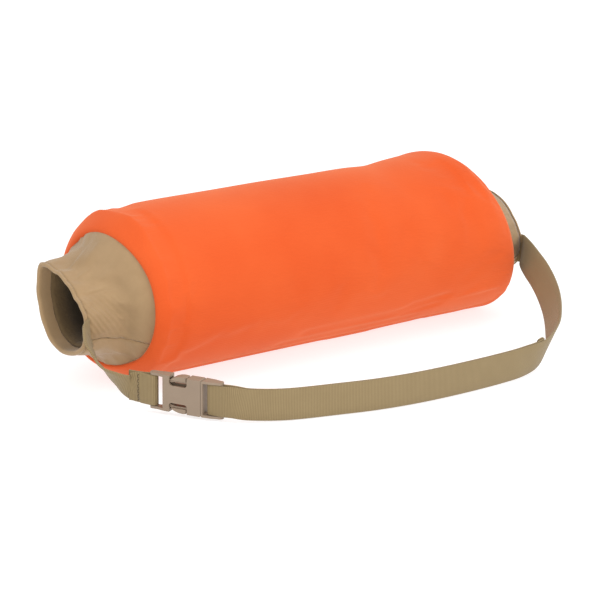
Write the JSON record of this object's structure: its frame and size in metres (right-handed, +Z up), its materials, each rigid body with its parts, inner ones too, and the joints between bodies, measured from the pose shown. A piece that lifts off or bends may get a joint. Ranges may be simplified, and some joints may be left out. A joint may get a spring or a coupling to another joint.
{
  "type": "hand warmer muff",
  "caption": "Padded barrel-shaped hand-warmer muff with a slip-on cover, open hand cuffs and a webbing waist belt with a side-release buckle.",
  "frame": {"origin": "middle of the flat underside the muff rests on", "axes": "+X along the muff towards the long strap's cuff, +Y away from the belt, +Z up"},
  "size_m": [0.5103, 0.2919, 0.143],
  "materials": {
    "cover": "soft stretch fleece knit, high-visibility orange",
    "cover_hem": "soft stretch fleece knit, folded edge",
    "shell": "brushed tan woven softshell",
    "wadding": "white polyester wadding, hidden",
    "lining": "dark brown fleece",
    "webbing": "ribbed tan polypropylene webbing",
    "buckle": "matte tan acetal"
  },
  "bodies": {
    "muff": {"cover_body": "cover", "cover_hem_left": "cover_hem", "cover_hem_right": "cover_hem", "shell_upper_panel": "shell", "shell_lower_panel": "shell", "insulation": "wadding", "lining": "lining", "cuff_facing_left": "shell", "cuff_facing_right": "shell", "strap_short": "webbing", "strap_long": "webbing", "buckle_socket": "buckle"},
    "plug": {"buckle_plug": "buckle"},
    "arm_upper": {"buckle_arm_upper": "buckle"},
    "arm_lower": {"buckle_arm_lower": "buckle"}
  },
  "joints": [
    {"name": "plug_slide", "type": "slide", "parent": "muff", "child": "plug", "axis": [0.4065, -0.913, -0.0349], "range_m": [0, 0.024], "deforming": ["strap_long", "buckle_arm_upper", "buckle_arm_lower"]},
    {"name": "arm_upper_squeeze", "type": "hinge", "parent": "plug", "child": "arm_upper", "pos_m": [-0.21432, -0.13774, 0.02859], "axis": [-0.913, -0.4045, -0.0523], "range_deg": [0, 9], "stiffness_Nm_per_rad": 0.3},
    {"name": "arm_lower_squeeze", "type": "hinge", "parent": "plug", "child": "arm_lower", "pos_m": [-0.21357, -0.13656, 0.00644], "axis": [0.913, 0.4045, 0.0523], "range_deg": [0, 9], "stiffness_Nm_per_rad": 0.3}
  ]
}
